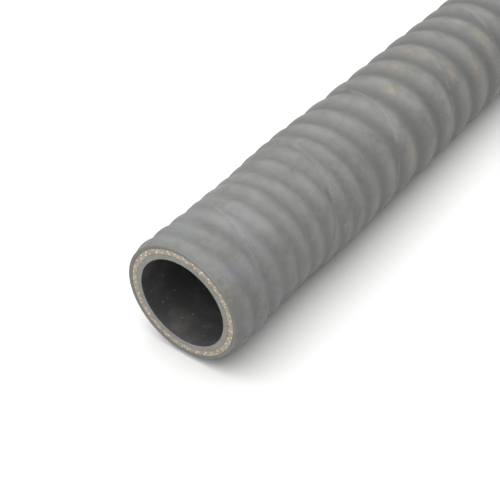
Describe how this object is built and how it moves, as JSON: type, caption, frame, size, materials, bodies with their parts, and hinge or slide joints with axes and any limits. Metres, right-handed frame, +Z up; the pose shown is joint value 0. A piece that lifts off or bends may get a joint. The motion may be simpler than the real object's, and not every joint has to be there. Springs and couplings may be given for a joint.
{
  "type": "wire reinforced rubber hose",
  "caption": "Straight cut length of thick-walled EPDM rubber hose with a wire helix and a cord ply in its wall, open at both ends, ribbed outside over the wire.",
  "frame": {"origin": "on the ground under the middle of the hose, halfway between its two cut faces", "axes": "+X along the hose from the pictured cut end to the other, +Z up, the hose lying on its side"},
  "size_m": [0.5, 0.0458, 0.0459],
  "materials": {
    "liner_rubber": "matte",
    "ply_cord": "matte",
    "spring_wire": "satin",
    "cover_rubber": "matte"
  },
  "bodies": {
    "root": {"inner_tube": "liner_rubber", "cord_ply": "ply_cord", "wire_helix": "spring_wire", "outer_cover": "cover_rubber"}
  },
  "joints": []
}
